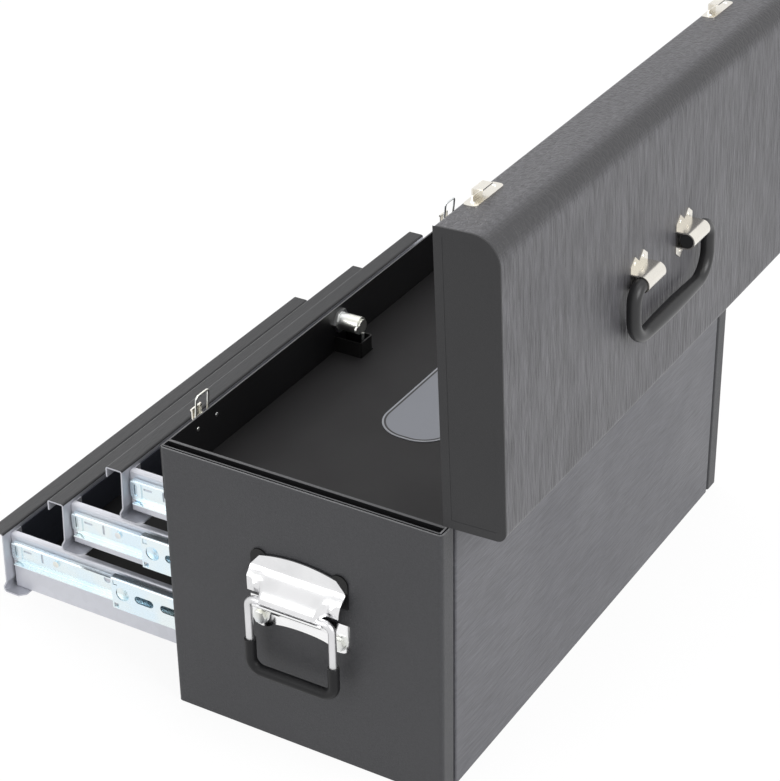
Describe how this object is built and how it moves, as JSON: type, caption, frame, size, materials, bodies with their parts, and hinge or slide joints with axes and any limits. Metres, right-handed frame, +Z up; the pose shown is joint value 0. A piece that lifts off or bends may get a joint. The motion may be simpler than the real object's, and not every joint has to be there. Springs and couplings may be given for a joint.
{
  "type": "tool chest",
  "caption": "Steel tool chest with a hinged lid, a top tray, pull-out drawers on ball bearing slides, draw latches, a lock and folding carrying handles.",
  "frame": {"origin": "on the ground under the middle of the body's base", "axes": "+X along the length, -Y towards the drawer side, +Z up"},
  "size_m": [0.6482, 0.5997, 0.5742],
  "materials": {
    "body_grey": "fine textured powder coat",
    "body_dark": "dark textured powder coat",
    "lid_grey": "grained textured coating",
    "lid_dark": "dark satin coat",
    "front_grey": "dark satin coat",
    "drawer_steel": "satin zinc plate",
    "zinc": "bright zinc plate",
    "nickel": "polished nickel plate",
    "chrome": "polished chrome plate",
    "rubber": "matte black",
    "handle_plastic": "satin black sleeve",
    "lock_black": "black",
    "mat": "matte foam sheet",
    "badge": "satin plate with no marking"
  },
  "bodies": {
    "chest": {"end_panel_right": "body_grey", "end_panel_left": "body_grey", "end_rims": "body_dark", "back_panel": "body_grey", "base_pan": "body_dark", "top_rail": "body_dark", "base_rail": "body_dark", "side_frame_right": "body_dark", "side_frame_left": "body_dark", "tray_floor": "body_dark", "tray_mat": "mat", "tray_badge": "badge", "hinge_leaf_body": "nickel", "hinge_pin": "zinc", "latch_bases": "nickel", "lock_body": "zinc", "lock_guard": "lock_black", "slide_outer_1": "zinc", "slide_outer_2": "zinc", "slide_outer_3": "zinc", "handle_plate_right": "chrome", "handle_plate_left": "chrome", "stop_plate_right": "chrome", "stop_plate_left": "chrome", "handle_pads": "rubber", "handle_bolts": "zinc"},
    "lid": {"lid_shell": "lid_grey", "lid_end_right": "lid_dark", "lid_end_left": "lid_dark", "hinge_leaf_lid": "nickel", "keepers": "nickel", "lid_brackets": "nickel"},
    "lid_handle": {"lid_handle": "handle_plastic"},
    "latch_right": {"latch_lever_right": "nickel"},
    "latch_left": {"latch_lever_left": "nickel"},
    "wire_right": {"latch_bail_right": "zinc"},
    "wire_left": {"latch_bail_left": "zinc"},
    "lock_cam": {"lock_cam": "zinc"},
    "lock_rod": {"lock_rod": "zinc"},
    "handle_right": {"bail_right": "chrome", "grip_right": "rubber"},
    "handle_left": {"bail_left": "chrome", "grip_left": "rubber"},
    "drawer_1": {"drawer_front_1": "front_grey", "drawer_box_1": "drawer_steel", "drawer_liner_1": "mat", "slide_inner_1": "zinc"},
    "slide_1": {"slide_middle_1": "zinc"},
    "drawer_2": {"drawer_front_2": "front_grey", "drawer_box_2": "drawer_steel", "drawer_liner_2": "mat", "slide_inner_2": "zinc"},
    "slide_2": {"slide_middle_2": "zinc"},
    "drawer_3": {"drawer_front_3": "front_grey", "drawer_box_3": "drawer_steel", "drawer_liner_3": "mat", "slide_inner_3": "zinc"},
    "slide_3": {"slide_middle_3": "zinc"}
  },
  "joints": [
    {"name": "lid_hinge", "type": "hinge", "parent": "chest", "child": "lid", "pos_m": [0, 0.1453, 0.2867], "axis": [1, 0, 0], "range_deg": [0, 88.16]},
    {"name": "lid_handle_swing", "type": "hinge", "parent": "lid", "child": "lid_handle", "pos_m": [0, 0.20746, 0.42607], "axis": [1, 0, 0], "range_deg": [0, 170]},
    {"name": "lock_turn", "type": "hinge", "parent": "chest", "child": "lock_cam", "pos_m": [0, -0.118, 0.267], "axis": [0, 1, 0], "range_deg": [0, 90]},
    {"name": "rod_drop", "type": "slide", "parent": "chest", "child": "lock_rod", "axis": [0, 0, -1], "range_m": [0, 0.008]},
    {"name": "latch_right_lever", "type": "hinge", "parent": "chest", "child": "latch_right", "pos_m": [0.228, -0.1495, 0.262], "axis": [1, 0, 0], "range_deg": [0, 145]},
    {"name": "latch_right_wire", "type": "hinge", "parent": "latch_right", "child": "wire_right", "pos_m": [0.228, -0.1495, 0.268], "axis": [1, 0, 0], "range_deg": [-145, 0]},
    {"name": "handle_right_lift", "type": "hinge", "parent": "chest", "child": "handle_right", "pos_m": [0.318, 0, 0.166], "axis": [0, -1, 0], "range_deg": [0, 90]},
    {"name": "latch_left_lever", "type": "hinge", "parent": "chest", "child": "latch_left", "pos_m": [-0.228, -0.1495, 0.262], "axis": [1, 0, 0], "range_deg": [0, 145]},
    {"name": "latch_left_wire", "type": "hinge", "parent": "latch_left", "child": "wire_left", "pos_m": [-0.228, -0.1495, 0.268], "axis": [1, 0, 0], "range_deg": [-145, 0]},
    {"name": "handle_left_lift", "type": "hinge", "parent": "chest", "child": "handle_left", "pos_m": [-0.318, 0, 0.166], "axis": [0, 1, 0], "range_deg": [0, 90]},
    {"name": "drawer_1_slide", "type": "slide", "parent": "chest", "child": "drawer_1", "axis": [0, -1, 0], "range_m": [-0.083, 0.167]},
    {"name": "slide_1_follow", "type": "slide", "parent": "chest", "child": "slide_1", "axis": [0, -1, 0], "range_m": [-0.0415, 0.0835]},
    {"name": "drawer_2_slide", "type": "slide", "parent": "chest", "child": "drawer_2", "axis": [0, -1, 0], "range_m": [-0.158, 0.092]},
    {"name": "slide_2_follow", "type": "slide", "parent": "chest", "child": "slide_2", "axis": [0, -1, 0], "range_m": [-0.079, 0.046]},
    {"name": "drawer_3_slide", "type": "slide", "parent": "chest", "child": "drawer_3", "axis": [0, -1, 0], "range_m": [-0.239, 0.011]},
    {"name": "slide_3_follow", "type": "slide", "parent": "chest", "child": "slide_3", "axis": [0, -1, 0], "range_m": [-0.1195, 0.0055]}
  ],
  "couplings": [
    {"joint": "rod_drop", "follows": "lock_turn", "m_per_rad": 0.005093},
    {"joint": "latch_right_wire", "follows": "latch_right_lever", "ratio": -1},
    {"joint": "latch_left_wire", "follows": "latch_left_lever", "ratio": -1},
    {"joint": "slide_1_follow", "follows": "drawer_1_slide", "ratio": 0.5},
    {"joint": "slide_2_follow", "follows": "drawer_2_slide", "ratio": 0.5},
    {"joint": "slide_3_follow", "follows": "drawer_3_slide", "ratio": 0.5}
  ]
}
